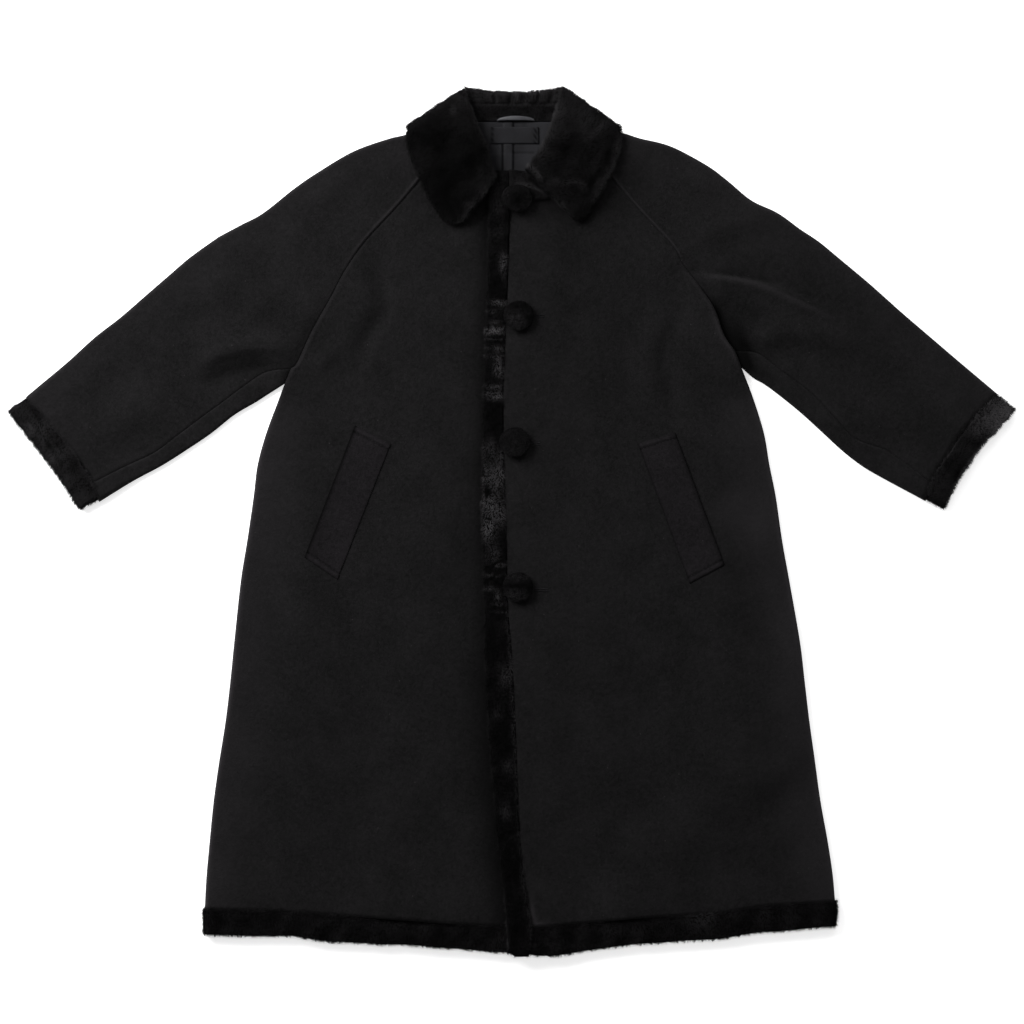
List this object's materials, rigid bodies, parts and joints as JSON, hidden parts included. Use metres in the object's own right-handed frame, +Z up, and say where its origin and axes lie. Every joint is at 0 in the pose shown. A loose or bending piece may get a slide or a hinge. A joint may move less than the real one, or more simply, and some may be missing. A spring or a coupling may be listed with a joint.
{
  "type": "wool coat",
  "caption": "long black raglan wool coat with plush fur collar, front edge, hem and cuff bands, buttoned and laid flat on its back",
  "frame": {"origin": "centre of the footprint, on the surface that the coat lies on", "axes": "+Z up off the surface, +Y from hem to collar, +X to the wearer's left, which is the right of one who looks down on it"},
  "size_m": [1.2618, 1.0888, 0.0305],
  "materials": {
    "melton_wool": "felted wool with a short nap, matt",
    "plush_fur": "short dense plush fur with a soft sheen",
    "lining_cloth": "smooth lining, slight sheen",
    "satin_ribbon": "woven satin"
  },
  "bodies": {
    "root": {"back": "melton_wool", "front_right": "melton_wool", "front_left": "melton_wool", "sleeve_right_front": "melton_wool", "sleeve_right_back": "melton_wool", "sleeve_left_front": "melton_wool", "sleeve_left_back": "melton_wool", "welt_right": "melton_wool", "welt_left": "melton_wool", "collar": "plush_fur", "collar_stand": "plush_fur", "front_band": "plush_fur", "hem_band": "plush_fur", "cuff_right": "plush_fur", "cuff_left": "plush_fur", "button_1": "plush_fur", "button_2": "plush_fur", "button_3": "plush_fur", "button_4": "plush_fur", "back_lining": "lining_cloth", "label": "satin_ribbon", "hanger_loop": "satin_ribbon"}
  },
  "joints": []
}
